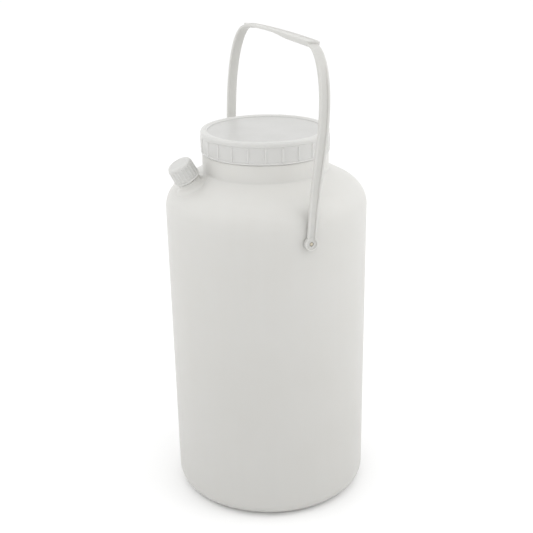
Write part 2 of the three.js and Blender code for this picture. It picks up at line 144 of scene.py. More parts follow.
GRIP_WEB = 1.6  # depth of the underside of the web between its two edges
GRIP_EDGE = 1.9  # depth of the two edges at the left end
GRIP_DEEPER = 1.9  # how much deeper they are at the right end
DEEPER_FROM_X = -8.0  # where they start to deepen
DEEPER_TO_X = 27.0
GRIP_END = 3.0  # the last stretch at each end is solid
LEG_PATH = [  # middle line of a strap, from the eye up into the grip
    (EYE_X, 2.6), (EYE_X, 14), (80.6, 40), (83.5, 70), (84.35, 90), (81.5, 110),
    (74.3, 126), (65, 134.8), (54, 137.9), (43.7, 138.4),
]

# brass pins, along X
PIN_R = 1.3  # stem
PIN_FOOT_R = 2.0  # thicker foot in the boss
PIN_INNER = 72.0  # inner end
PIN_STEP = 75.4  # where the foot ends and the stem begins
PIN_OUTER = 80.9  # outer end
BOSS_INNER = 69.0  # inner end of the boss that holds the pin inside the wall
BOSS_OUTER = 76.9
BOSS_R = 5.6
BOSS_FOOT_R = 6.8  # where it runs into the wall


def cone_z(radius):
    """Height of the outside of the shoulder's cone."""
    return CONE_Z + CONE_SLOPE * (CONE_R - radius)


# ------------------------------------------------------------------ camera
CAMERA_AZIMUTH = 66.8
CAMERA_ELEVATION = 23.05
CAMERA_DISTANCE = 0.8228  # metres
CAMERA_AIM_Z = 0.14625
CAMERA_LENS = 68.53
CAMERA_ROLL, CAMERA_TILT, CAMERA_PAN = -1.0, 2.44, 0.05  # fine turns, degrees


def from_angles(azimuth, elevation):
    """Unit vector towards a camera or a light; azimuth 0 is at -Y and 90 at +X."""
    a, e = math.radians(azimuth), math.radians(elevation)
    return Vector((math.sin(a) * math.cos(e), -math.cos(a) * math.cos(e), math.sin(e)))


def make_camera():
    data = bpy.data.cameras.new("camera")
    data.sensor_width = 36.0
    data.lens = CAMERA_LENS
    data.clip_start = 0.05
    data.clip_end = 100
    cam = bpy.data.objects.new("camera", data)
    bpy.context.scene.collection.objects.link(cam)
    back = from_angles(CAMERA_AZIMUTH, CAMERA_ELEVATION)
    right = Vector((0, 0, 1)).cross(back).normalized()
    look = Matrix((right, back.cross(right), back)).transposed()
    nudge = (
        Matrix.Rotation(math.radians(CAMERA_PAN), 3, "Y")
        @ Matrix.Rotation(math.radians(CAMERA_TILT), 3, "X")
        @ Matrix.Rotation(math.radians(CAMERA_ROLL), 3, "Z")
    )
    stand = Vector((0, 0, CAMERA_AIM_Z)) + back * CAMERA_DISTANCE
    cam.matrix_world = Matrix.Translation(stand) @ (look @ nudge).to_4x4()
    bpy.context.scene.camera = cam


make_camera()


# ------------------------------------------------------------------ mesh helpers
def smooth_step(low, high, at):
    """Rises smoothly from 0 at `low` to 1 at `high`."""
    t = min(max((at - low) / (high - low), 0.0), 1.0)
    return t * t * (3 - 2 * t)


def rounded(corners, steps=5):
    """Turns (x, y, radius) corners into a line whose corners are arcs of that radius."""
    out = []
    count = len(corners)
    for i, (x, y, radius) in enumerate(corners):
        if radius <= 0 or i in (0, count - 1):
            out.append((x, y))
            continue
        here = Vector((x, y))
        back = Vector(corners[i - 1][:2]) - here
        ahead = Vector(corners[i + 1][:2]) - here
        turn = back.angle(ahead)
        if turn > math.pi - 0.02:
            out.append((x, y))
            continue
        reach = min(radius / math.tan(turn / 2), 0.49 * back.length, 0.49 * ahead.length)
        true_radius = reach * math.tan(turn / 2)
        start = here + back.normalized() * reach
        end = here + ahead.normalized() * reach
        middle = (back.normalized() + ahead.normalized()).normalized()
        centre = here + middle * math.hypot(reach, true_radius)
        first = (start - centre).angle_signed(Vector((1, 0)))
        sweep = (end - centre).angle_signed(start - centre)
        for k in range(steps + 1):
            angle = first + sweep * k / steps
            out.append(
                (
                    centre.x + true_radius * math.cos(angle),
                    centre.y + true_radius * math.sin(angle),
                )
            )
    return out


def arc(x, y, across, up, start, end, steps):
    """Points along an ellipse with its middle at (x, y)."""
    angles = [start + (end - start) * i / steps for i in range(steps + 1)]
    return [(x + across * math.cos(a), y + up * math.sin(a)) for a in angles]


def straight(a, b, steps):
    """The points between a and b, without those two."""
    return [
        (a[0] + (b[0] - a[0]) * i / steps, a[1] + (b[1] - a[1]) * i / steps)
        for i in range(1, steps)
    ]


def mesh_object(name, verts, faces):
    mesh = bpy.data.meshes.new(name)
    mesh.from_pydata([tuple(c * MM for c in v) for v in verts], [], faces)
    mesh.validate()
    obj = bpy.data.objects.new(name, mesh)
    bpy.context.scene.collection.objects.link(obj)
    return obj


def outward(obj):
    """Merges doubled points and turns the faces outwards."""
    bm = bmesh.new()
    bm.from_mesh(obj.data)
    bmesh.ops.remove_doubles(bm, verts=bm.verts, dist=1e-6)
    bmesh.ops.recalc_face_normals(bm, faces=bm.faces)
    if bm.calc_volume(signed=True) < 0:
        bmesh.ops.reverse_faces(bm, faces=bm.faces)
    bm.to_mesh(obj.data)
    bm.free()
    return obj


def revolve(name, profile, angles, shape=None):
    """A closed body of revolution round Z. `shape` may move a point (r, z, angle)."""
    verts, faces, rows = [], [], []
    for r, z in profile:
        if r < 1e-6:
            rows.append([len(verts)] * len(angles))
            verts.append((0.0, 0.0, z))
            continue
        row = []
        for a in angles:
            rr, zz = shape(r, z, a) if shape else (r, z)
            row.append(len(verts))
            verts.append((rr * math.cos(a), rr * math.sin(a), zz))
        rows.append(row)
    closed = profile[0][0] > 1e-6
    count = len(angles)
    for j in range(len(rows) if closed else len(rows) - 1):
        low, high = rows[j], rows[(j + 1) % len(rows)]
        for i in range(count):
            k = (i + 1) % count
            ring = [low[i], low[k], high[k], high[i]]
            face = [v for n, v in enumerate(ring) if v != ring[n - 1]]
            if len(face) > 2:
                faces.append(face)
    return outward(mesh_object(name, verts, faces))


def even(count):
    """Evenly spaced angles round a full turn."""
    return [TAU * i / count for i in range(count)]


def loft(name, loops):
    """A closed body through matching loops of points."""
    count = len(loops[0])
    verts = [p for loop in loops for p in loop]
    faces = []
    for row in range(len(loops) - 1):
        for i in range(count):
            a, b = row * count + i, row * count + (i + 1) % count
            faces.append((a, b, b + count, a + count))
    faces.append(tuple(range(count))[::-1])
    faces.append(tuple(range(len(verts) - count, len(verts))))
    return outward(mesh_object(name, verts, faces))


def thread(name, root, crest, base, land, pitch, bottom, turns, start, per_turn):
    """A helical ridge, `base` high at radius `root` and `land` high near `crest`."""
    steps = math.ceil(turns * per_turn)
    loops = []
    for i in range(steps + 1):
        turn = turns * i / steps
        angle = start + turn * TAU
        fade = 0.3 + 0.7 * smooth_step(0, per_turn / 9, min(i, steps - i))
        tip = root + (crest - root) * fade
        z = bottom + turn * pitch
        mid = (base / 2 + land / 2) / 2
        section = [
            (root, -base / 2),
            (root + (tip - root) * 0.55, -mid),
            (root + (tip - root) * 0.92, -land / 2),
            (tip, -land / 4),
            (tip, land / 4),
            (root + (tip - root) * 0.92, land / 2),
            (root + (tip - root) * 0.55, mid),
            (root, base / 2),
        ]
        loops.append([(r * math.cos(angle), r * math.sin(angle), z + up) for r, up in section])
    return loft(name, loops)


def combine(target, tool, how):
    """Joins a tool to the target or cuts it away, and removes the tool."""
    mod = target.modifiers.new("combine", "BOOLEAN")
    mod.operation = how
    mod.object = tool
    mod.solver = "EXACT"
    bake_modifiers(target)
    bpy.data.objects.remove(tool, do_unlink=True)


def bake_modifiers(obj):
    """Keeps the modified mesh and drops the modifiers."""
    graph = bpy.context.evaluated_depsgraph_get()
    mesh = bpy.data.meshes.new_from_object(obj.evaluated_get(graph))
    obj.modifiers.clear()
    old = obj.data
    obj.data = mesh
    bpy.data.meshes.remove(old)


def tidy_mesh(obj):
    """Closes up the slivers that a run of booleans leaves."""
    reach = 4e-6  # metres
    mesh = bmesh.new()
    mesh.from_mesh(obj.data)
    bmesh.ops.remove_doubles(mesh, verts=mesh.verts, dist=reach)
    bmesh.ops.triangulate(mesh, faces=mesh.faces, ngon_method="BEAUTY")
    bmesh.ops.dissolve_degenerate(mesh, edges=mesh.edges, dist=reach)
    mesh.to_mesh(obj.data)
    mesh.free()


def place(obj, matrix):
    """Moves the mesh itself, so that the object keeps its own frame."""
    obj.data.transform(matrix)
    return obj


def finish_piece(obj, body, nodes, material, crease=32):
    """Shades the piece, with edges sharper than `crease` degrees kept, and ties it to its body."""
    for poly in obj.data.polygons:
        poly.use_smooth = True
    obj.data.set_sharp_from_angle(angle=math.radians(crease))
    obj.data.materials.clear()
    obj.data.materials.append(material)
    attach(obj, body)
    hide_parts(*nodes)


def to_side(side):
    """Turns a shape so that its +Z points to the right (side 1) or the left (side -1)."""
    return Matrix.Rotation(side * math.pi / 2, 4, "Y")


PIVOT_FRAME = Matrix.Translation((0, 0, PIVOT_Z * MM))
SPOUT_FRAME = Matrix.Translation((0, -SPOUT_FOOT_R * MM, cone_z(SPOUT_FOOT_R) * MM)) @ (
    Matrix.Rotation(SPOUT_LEAN, 4, "X")
)


# ------------------------------------------------------------------ materials
class Nodes:
    """A small builder for one Principled material."""

    def __init__(self, name):
        self.material = bpy.data.materials.new(name)
        self.material.use_nodes = True
        self.tree = self.material.node_tree
        self.shader = self.tree.nodes["Principled BSDF"]
        self.coord = self.add("ShaderNodeTexCoord").outputs["Object"]

    def add(self, kind, **values):
        node = self.tree.nodes.new(kind)
        for key, value in values.items():
            setattr(node, key, value)
        return node

    def link(self, source, target):
        self.tree.links.new(source, target)

    def set(self, **values):
        for key, value in values.items():
            self.shader.inputs[key.replace("_", " ")].default_value = value

    def stretch(self, scale):
        node = self.add("ShaderNodeMapping")
        node.inputs["Scale"].default_value = scale
        self.link(self.coord, node.inputs["Vector"])
        return node.outputs["Vector"]

    def noise(self, scale, detail=2.0, rough=0.5, vector=None):
        node = self.add("ShaderNodeTexNoise")
        node.inputs["Scale"].default_value = scale
        node.inputs["Detail"].default_value = detail
        node.inputs["Roughness"].default_value = rough
        self.link(vector or self.coord, node.inputs["Vector"])
        return node.outputs["Fac"]

    def ramp(self, source, stops):
        node = self.add("ShaderNodeValToRGB")
        ramp = node.color_ramp
        while len(ramp.elements) < len(stops):
            ramp.elements.new(0.5)
        for element, (at, colour) in zip(ramp.elements, stops):
            element.position = at
            element.color = (*colour, 1.0)
        self.link(source, node.inputs["Fac"])
        return node.outputs["Color"]

    def between(self, source, low, high, at_low=0.0, at_high=1.0):
        node = self.add("ShaderNodeMapRange")
        node.inputs["From Min"].default_value = at_low
        node.inputs["From Max"].default_value = at_high
        node.inputs["To Min"].default_value = low
        node.inputs["To Max"].default_value = high
        self.link(source, node.inputs["Value"])
        return node.outputs["Result"]

    def axis(self, name):
        node = self.add("ShaderNodeSeparateXYZ")
        self.link(self.coord, node.inputs["Vector"])
        return node.outputs[name]

    def length(self, vector):
        node = self.add("ShaderNodeVectorMath", operation="LENGTH")
        self.link(vector, node.inputs[0])
        return node.outputs["Value"]

    # Multiplies a colour by a factor of painted shade and painted light.
    def multiply_painted_shade(self, colour, painted_shade_factor):
        node = self.add("ShaderNodeVectorMath", operation="MULTIPLY")
        self.link(colour, node.inputs[0])
        self.link(painted_shade_factor, node.inputs[1])
        return node.outputs["Vector"]

    def bump(self, source, strength, distance, before=None):
        node = self.add("ShaderNodeBump")
        node.inputs["Strength"].default_value = strength
        node.inputs["Distance"].default_value = distance
        self.link(source, node.inputs["Height"])
        if before:
            self.link(before, node.inputs["Normal"])
        return node.outputs["Normal"]


def painted_wall_shade(n):
    """Painted shade and light: the wall's colour darkens towards the base, where less light falls,
    and pales round the thin neck, where light comes through.
    """
    rise = n.between(n.axis("Z"), 0.0, 1.0, 20 * MM, 265 * MM)
    return n.ramp(rise, [(0.0, (0.9,) * 3), (0.85, (1.0,) * 3), (1.0, (1.07,) * 3)])


def painted_panel_shade(n):
    """Painted shade: the lid's flat top panel is coloured a little darker than the rim round it,
    standing in for less light falling on the top.
    """
    edge = LID_SKIRT_R - LID_RIM_WIDE
    from_axis = n.length(n.stretch((1.0, 1.0, 0.0)))
    return n.between(from_axis, 0.87, 1.0, (edge - 0.1) * MM, (edge + 0.9) * MM)


def moulded_plastic(name, light, dark, roughness, see_in, grain, streak=0.0, shade=None,
                    ripple=0.1):
    """Milky polyethylene: faint flow marks, fine skin texture and light scattered inside."""
    n = Nodes(name)
    cloud = n.noise(14.0, 3.0, 0.55)
    flow = n.noise(9.0, 4.0, 0.6, n.stretch((14.0, 14.0, 0.7)))
    both = n.add("ShaderNodeMath", operation="MULTIPLY_ADD")
    both.inputs[1].default_value = streak
    n.link(flow, both.inputs[0])
    n.link(cloud, both.inputs[2])
    colour = n.ramp(both.outputs["Value"], [(0.3, dark), (0.75 + streak * 0.5, light)])
    # The optional shade paints shade and light into the colour.
    if shade:
        colour = n.multiply_painted_shade(colour, shade(n))
    n.link(colour, n.shader.inputs["Base Color"])
    patches = n.noise(55.0, 4.0, 0.6)
    n.link(
        n.between(patches, roughness - 0.05, roughness + 0.06, 0.3, 0.7),
        n.shader.inputs["Roughness"],
    )
    skin = n.bump(n.noise(grain, 3.0, 0.6), ripple, 0.0001)
    wave = n.bump(n.noise(26.0, 2.0, 0.5, n.stretch((1.0, 1.0, 0.55))), ripple, 0.0012, skin)
    n.link(wave, n.shader.inputs["Normal"])
    n.set(Subsurface_Weight=see_in, Subsurface_Radius=(1.0, 0.98, 0.94))
    n.set(Subsurface_Scale=0.005, IOR=1.5, Specular_IOR_Level=0.4)
    return n.material


def foam(name, light, dark):
    """Closed-cell foam of the two seals."""
    n = Nodes(name)
    cells = n.add("ShaderNodeTexVoronoi")
    cells.inputs["Scale"].default_value = 2600.0
    n.link(n.coord, cells.inputs["Vector"])
    colour = n.ramp(cells.outputs["Distance"], [(0.05, dark), (0.6, light)])
    n.link(colour, n.shader.inputs["Base Color"])
    n.link(n.bump(cells.outputs["Distance"], 0.4, 0.0002), n.shader.inputs["Normal"])
    n.link(
        n.between(n.noise(400.0, 2.0), 0.75, 0.92, 0.3, 0.7), n.shader.inputs["Roughness"]
    )
    return n.material


def brass(name):
    """Dull brass with turning marks round the pin."""
    n = Nodes(name)
    tarnish = n.noise(700.0, 4.0, 0.6)
    colour = n.ramp(tarnish, [(0.3, (0.46, 0.42, 0.33)), (0.7, (0.66, 0.61, 0.50))])
    n.link(colour, n.shader.inputs["Base Color"])
    lines = n.noise(1400.0, 3.0, 0.6, n.stretch((3.0, 0.6, 0.6)))
    n.link(n.between(lines, 0.35, 0.5, 0.3, 0.7), n.shader.inputs["Roughness"])
    n.link(n.bump(lines, 0.25, 0.00008), n.shader.inputs["Normal"])
    n.set(Metallic=1.0)
    return n.material


# The bottle's colour carries painted shade towards its base and painted light round its neck.
BOTTLE = moulded_plastic(
    "milky_bottle", light=(0.592, 0.587, 0.565), dark=(0.572, 0.565, 0.538), roughness=0.42,
    see_in=0.4, grain=900.0, streak=0.35, shade=painted_wall_shade,
)
# The lid's colour carries painted shade on its flat top panel.
LID = moulded_plastic(
    "lid_plastic", light=(0.59, 0.588, 0.572), dark=(0.575, 0.573, 0.557), roughness=0.33,
    see_in=0.35, grain=1300.0, shade=painted_panel_shade, ripple=0.02,
)
CAP = moulded_plastic(
    "cap_plastic", light=(0.58, 0.578, 0.56), dark=(0.565, 0.563, 0.545), roughness=0.34,
    see_in=0.3, grain=1300.0, ripple=0.04,
)
STRAP = moulded_plastic(
    "strap_plastic", light=(0.535, 0.532, 0.513), dark=(0.515, 0.512, 0.493), roughness=0.4,
    see_in=0.3, grain=1100.0, streak=0.2, ripple=0.06,
)
FOAM = foam("seal_foam", (0.84, 0.83, 0.79), (0.66, 0.65, 0.61))
BRASS = brass("turned_brass")


# ------------------------------------------------------------------ bottle body
def shoulder(inset, steps):
    """From the top of the wall to the foot of the cone."""
    return arc(
        WALL_R_TOP - SHOULDER_DEEP, SHOULDER_Z, SHOULDER_DEEP - inset, SHOULDER_RISE - inset,
        0, SHOULDER_END, steps,
    )


def base_corner(inset, steps):
    """From the standing ring to the foot of the wall."""
    radius = BASE_CORNER - inset
    return arc(
        WALL_R_BASE - BASE_CORNER, BASE_CORNER, radius, radius, -math.pi / 2, 0, steps
    )


def bottle_profile():
    """The whole shell in (radius, height): up the outside, over the rim, down the inside."""
    foot = rounded(
        [
            (0, PUSH_UP, 0),
            (PUSH_UP_FLAT_R, PUSH_UP - PUSH_UP_FALL, 10),
            (RING_INNER - 1.5, 1.4, 1.5),
            (RING_INNER + 0.6, 0, 1.2),
            (RING_OUTER - 0.3, 0, 0),
        ]
    )
    corner = base_corner(0, 16)[1:]
    curve = shoulder(0, 30)
    wall = straight(corner[-1], curve[0], 28)
    cone_top = (COLLAR_R + 2.6, cone_z(COLLAR_R + 2.6))
    cone = straight(curve[-1], cone_top, 9)
    neck = rounded(
        [
            (*cone_top, 0),
            (COLLAR_R, cone_z(COLLAR_R), 1.4),
            (COLLAR_R, COLLAR_TOP - 4, 0),
            (COLLAR_R, COLLAR_TOP, 0.5),
            (FINISH_R, COLLAR_TOP, 0.6),
            (FINISH_R, RIM_Z, 0.6),
            (MOUTH_R, RIM_Z, 0.5),
            (MOUTH_R, COLLAR_TOP - 1, 1.6),
            (COLLAR_R - WALL, COLLAR_TOP - 6, 2.5),
            (COLLAR_R - WALL, cone_z(COLLAR_R) - 0.4, 3.0),
            (COLLAR_R + 3.0, cone_z(COLLAR_R + 3.0) - CONE_WALL, 0),
        ]
    )
    inner_curve = shoulder(WALL, 16)[::-1]
    inner_corner = base_corner(WALL, 8)[::-1]
    inner_wall = straight(inner_curve[-1], inner_corner[0], 6)
    inner_foot = rounded(
        [
            (RING_OUTER - 0.6, WALL, 0),
            (RING_INNER + 0.6, WALL, 1.0),
            (RING_INNER - 1.5, WALL + 1.4, 1.5),
            (PUSH_UP_FLAT_R, PUSH_UP - PUSH_UP_FALL + WALL, 10),
            (0, PUSH_UP + WALL, 0),
        ]
    )
    return (
        foot
        + corner
        + wall
        + curve
        + cone
        + neck
        + inner_curve
        + inner_wall
        + inner_corner[:-1]
        + inner_foot
    )


def parting_line(r, z, angle):
    """A fine raised line where the two mould halves met, in the plane of the spout."""
    outside = 8 < z < COLLAR_TOP - 1 and r > COLLAR_R - 0.3 and not is_inner(r, z)
    away = abs(math.cos(angle))
    if outside and away < PARTING_FOOT:
        return r + PARTING_HIGH * (1 - smooth_step(PARTING_CREST, PARTING_FOOT, away)), z
    return r, z


def is_inner(r, z):
    """Whether a point of the wall, shoulder or cone lies on its inside."""
    if z <= SHOULDER_Z:
        wall = WALL_R_BASE + (WALL_R_TOP - WALL_R_BASE) * (z - BASE_CORNER) / (
            SHOULDER_Z - BASE_CORNER
        )
        return z > BASE_CORNER and r < wall - WALL / 2
    if z < CONE_Z:
        up = min((z - SHOULDER_Z) / SHOULDER_RISE, 1.0)
        wall = WALL_R_TOP - SHOULDER_DEEP + SHOULDER_DEEP * math.sqrt(1 - up * up)
        return r < wall - WALL / 2
    return z < cone_z(r) - WALL / 2


def wall_angles(count):
    """Even steps, with closer ones on each side of the mould's parting line."""
    marks = []
    for middle in (math.pi / 2, 3 * math.pi / 2):
        marks += [middle + d for d in (-0.011, -0.006, -0.003, 0.0, 0.003, 0.006, 0.011)]
    plain = [a for a in even(count) if all(abs(a - m) > 0.012 for m in marks)]
    return sorted(plain + marks)


def surface_drop(x, y):
    """How far the shoulder falls below its tangent plane at the spout's foot."""
    lean, foot = SPOUT_LEAN, SPOUT_FOOT_R
    # From spout frame to bottle frame, then back along the spout to the outside.
    s = 0.0
    for _ in range(12):
        py = -foot + y * math.cos(lean) - s * math.sin(lean)
        pz = cone_z(foot) + y * math.sin(lean) + s * math.cos(lean)
        radius = math.hypot(x, py)
        if radius > CONE_R:
            over = min((radius - (WALL_R_TOP - SHOULDER_DEEP)) / SHOULDER_DEEP, 0.999)
            surface = SHOULDER_Z + SHOULDER_RISE * math.sqrt(1 - over * over)
        else:
            surface = cone_z(radius)
        s += (surface - pz) * math.cos(lean)
    return s


def spout_tube():
    """The spout before it is bored, with a foot that follows the shoulder."""
    profile = rounded(
        [
            (0, -SPOUT_SUNK, 0),
            (SPOUT_SKIRT_R, -SPOUT_SUNK, 0),
            (SPOUT_SKIRT_R, -0.12, 0),
            (SPOUT_SKIRT_R - 1, 0.0, 3.0),
            (SPOUT_BEAD_R + 0.55, 1.7, 3.5),
            (SPOUT_BEAD_R, 4.0, 1.5),
            (SPOUT_BEAD_R, 5.6, 0.3),
            (SPOUT_ROOT_R, 5.9, 0.2),
            (SPOUT_ROOT_R, SPOUT_TIP, 0.5),
            (SPOUT_ROOT_R - 0.9, SPOUT_TIP, 0),
            (0, SPOUT_TIP, 0),
        ]
    )
    tube = revolve("spout_tube", profile, even(128))
    for v in tube.data.vertices:
        x, y, s = (c / MM for c in v.co)
        hold = 1 - smooth_step(0.4, 4.2, s)  # the bead and the tip stay true
        v.co.z += surface_drop(x, y) * hold * MM
    return tube


def neck_thread(name, root, crest, start):
    """The thread of the neck or of the wide lid."""
    return thread(
        name, root, crest, *LID_THREAD, LID_PITCH, LID_THREAD_Z, LID_TURNS, start, 144
    )


def spout_thread(name, root, crest, start):
    """The thread of the spout or of its cap."""
    return thread(
        name, root, crest, *CAP_THREAD, CAP_PITCH, CAP_THREAD_Z, CAP_TURNS, start, 64
    )


def spout_bore():
    wide, past = SPOUT_BORE_R + 0.4, SPOUT_TIP + 2
    profile = [
        (0, -9), (wide, -9), (SPOUT_BORE_R, -2), (SPOUT_BORE_R, SPOUT_TIP - 0.3),
        (wide, SPOUT_TIP + 0.2), (wide, past), (0, past),
    ]
    return revolve("spout_bore", profile, even(96))


def pin_boss():
    profile = [
        (0, BOSS_INNER, 0), (BOSS_R, BOSS_INNER, 1.2), (BOSS_FOOT_R, BOSS_OUTER - 1.5, 0),
        (BOSS_FOOT_R, BOSS_OUTER, 0), (0, BOSS_OUTER, 0),
    ]
    return revolve("pin_boss", rounded(profile), even(48))


def pin_hole():
    inner, step, past = PIN_INNER - GAP, PIN_STEP + GAP, PIN_OUTER + 1
    foot, stem = PIN_FOOT_R + GAP, PIN_R + GAP
    profile = [(0, inner), (foot, inner), (foot, step), (stem, step), (stem, past), (0, past)]
    return revolve("pin_hole", profile, even(40))


def bottle_body():
    body = revolve("bottle_shell", bottle_profile(), wall_angles(216), parting_line)
    combine(body, place(spout_tube(), SPOUT_FRAME), "UNION")
    screw = spout_thread("spout_screw", SPOUT_ROOT_R - 0.4, SPOUT_ROOT_R + 1.1, 0.0)
    combine(body, place(screw, SPOUT_FRAME), "UNION")
    combine(body, place(spout_bore(), SPOUT_FRAME), "DIFFERENCE")
    combine(body, neck_thread("neck_screw", FINISH_R - 0.5, FINISH_R + 1.6, 0.0), "UNION")
    for side in (-1, 1):
        combine(body, place(pin_boss(), PIVOT_FRAME @ to_side(side)), "UNION")
        combine(body, place(pin_hole(), PIVOT_FRAME @ to_side(side)), "DIFFERENCE")
    finish_piece(body, "bottle", ["bottle_body", "bottle_spout"], BOTTLE)


# ------------------------------------------------------------------ lid, cap and seals
def rib_rows(bottom, top, radius_at, half):
    """Rows up a ribbed wall, close together where the ribs end."""
    ends = [0.15, 0.35, 0.55, 0.75, 0.95, 1.15]
    heights = [bottom + e * half for e in ends]
    heights += [bottom + (top - bottom) * k / 8 for k in range(1, 8)]
    heights += [top - e * half for e in reversed(ends)]
    heights = [bottom - 0.1, *sorted(heights), top + 0.1]
    return [(radius_at(z), z, 0) for z in heights]


def rib_angles(count, first, radius, wide, fill):
    """Angles round a ribbed wall: close ones at the flanks of each rib."""
    half = wide / 2
    marks = [half * f for f in (0.0, 0.35, 0.6, 0.8, 1.0, 1.2, 1.45)]
    out = []
    for i in range(count):
        middle = first + TAU * i / count
        out += [middle + sign * m / radius for m in marks for sign in (1, -1) if m or sign > 0]
        clear = TAU / count - 2 * marks[-1] / radius
        out += [middle + marks[-1] / radius + clear * k / fill for k in range(1, fill)]
    return sorted(a % TAU for a in out)


def ribbed(count, first, wide, high, bottom, top, wall):
    """A shape for revolve that raises upright ribs with arched tops on a wall."""
    half = wide / 2

    def shape(r, z, angle):
        if not bottom < z < top or abs(r - wall(z)) > 0.02:
            return r, z
        step = TAU / count
        off = (angle - first + step / 2) % step - step / 2
        across = abs(off) * r
        from_end = min(z - bottom, top - z, half) / half
        reach = half * math.sqrt(max(0.0, 1 - (1 - from_end) ** 2))
        if reach < 0.05:
            return r, z
        return r + high * (1 - smooth_step(reach * 0.6, reach * 1.3, across)), z

    return shape


def wide_lid():
    r, rib_bottom = LID_SKIRT_R, LID_BOTTOM + 1.6
    profile = rounded(
        [
            (0, LID_CEILING, 0),
            (PLUG_R - 1.4, LID_CEILING, 0.5),
            (PLUG_R - 1.2, RIM_Z - 2, 0.2),
            (PLUG_R - 0.3, RIM_Z - 2, 0.2),
            (PLUG_R, RIM_Z - 1.2, 0.3),
            (PLUG_R, LID_CEILING, 0.4),
            (LID_INNER_R, LID_CEILING, 0.8),
            (LID_INNER_R, LID_BOTTOM, 0.3),
            (r + 0.55, LID_BOTTOM, 0.4),
            (r + 0.65, LID_BOTTOM + 1.0, 0.35),
            (r, LID_BOTTOM + 1.35, 0.2),
            *rib_rows(rib_bottom, LID_RIB_TOP, lambda z: r, LID_RIB_WIDE / 2),
            (r, LID_TOP - 4.0, 0.2),
            (r + 0.38, LID_TOP - 3.6, 0.3),
            (r + 0.42, LID_TOP - 1.6, 0.6),
            (r - 0.1, LID_TOP - 0.3, 0.7),
            (r - 0.9, LID_TOP, 0.5),
            (r - 2.5, LID_TOP, 0.4),
            (r - 3.0, LID_TOP - 0.5, 0.3),
            (r - 4.7, LID_TOP - 0.62, 0.2),
            (r - LID_RIM_WIDE, LID_PANEL, 0.2),
            *[(r - 6 - step, LID_PANEL, 0) for step in range(0, 42, 3)],  # keeps faces small
            (0, LID_PANEL, 0),
        ],
        4,
    )
    lid = revolve(
        "lid_shell",
        profile,
        rib_angles(LID_RIBS, FIRST_RIB, r, LID_RIB_WIDE, 8),
        ribbed(
            LID_RIBS, FIRST_RIB, LID_RIB_WIDE, LID_RIB_HIGH, rib_bottom, LID_RIB_TOP,
            lambda z: r,
        ),
    )
    screw = neck_thread("lid_screw", LID_INNER_R + 0.5, LID_INNER_R - 1.5, math.pi)
    combine(lid, screw, "UNION")
    finish_piece(lid, "lid", ["wide_lid"], LID)


def lid_gasket():
    low, high = RIM_Z + GAP, LID_CEILING - GAP
    inner, outer = PLUG_R + 0.4, LID_INNER_R - 0.4
    profile = rounded(
        [
            ((inner + outer) / 2, low, 0),
            (outer, low, 0.15),
            (outer, high, 0.15),
            (inner, high, 0.15),
            (inner, low, 0.15),
            ((inner + outer) / 2 - 0.01, low, 0),
        ],
        3,
    )
    ring = revolve("lid_seal_ring", profile, even(160))
    finish_piece(ring, "lid_seal", ["lid_gasket"], FOAM)


def cap_wall(s):
    """Radius of the cap's side, which narrows towards its top."""
    return CAP_R - CAP_TAPER * (s - CAP_BOTTOM) / (CAP_TOP - CAP_BOTTOM)


def spout_cap():
    lip, crown = CAP_R + 0.55, cap_wall(CAP_TOP)
    rib_low, rib_high = CAP_BOTTOM + 1.5, CAP_TOP - 1.8
    edge, dish = CAP_EDGE, CAP_TOP - CAP_DISH
    profile = rounded(
        [
            (0, CAP_CEILING, 0),
            (CAP_INNER_R, CAP_CEILING, 0.5),
            (CAP_INNER_R, CAP_BOTTOM, 0.2),
            (lip, CAP_BOTTOM, 0.35),
            (lip, CAP_BOTTOM + 0.9, 0.35),
            (cap_wall(CAP_BOTTOM + 1.3), CAP_BOTTOM + 1.3, 0.1),
            *rib_rows(rib_low, rib_high, cap_wall, CAP_RIB_WIDE / 2),
            *[(*p, 0) for p in arc(crown - edge, CAP_TOP - edge, edge, edge, 0, math.pi / 2, 8)],
            (crown - 2.6, CAP_TOP, 0.3),
            (crown - 3.0, dish, 0.25),
            (crown - 6.0, dish, 0),
            (0, dish, 0),
        ],
        6,
    )
    cap = revolve(
        "cap_shell",
        profile,
        rib_angles(CAP_RIBS, 0.0, CAP_R, CAP_RIB_WIDE, 3),
        ribbed(CAP_RIBS, 0.0, CAP_RIB_WIDE, CAP_RIB_HIGH, rib_low, rib_high, cap_wall),
    )
    screw = spout_thread("cap_screw", CAP_INNER_R + 0.3, CAP_INNER_R - 1.1, math.pi)
    combine(cap, screw, "UNION")
    place(cap, SPOUT_FRAME)
    finish_piece(cap, "spout_cap", ["spout_cap"], CAP)


def spout_liner():
    low, high, r = SPOUT_TIP + GAP, CAP_CEILING - GAP, CAP_INNER_R - 0.8
    disc = revolve(
        "cap_seal_disc", rounded([(0, low, 0), (r, low, 0.2), (r, high, 0.2), (0, high, 0)], 3),
        even(96),
    )
    place(disc, SPOUT_FRAME)
    finish_piece(disc, "spout_seal", ["spout_cap_liner"], FOAM)


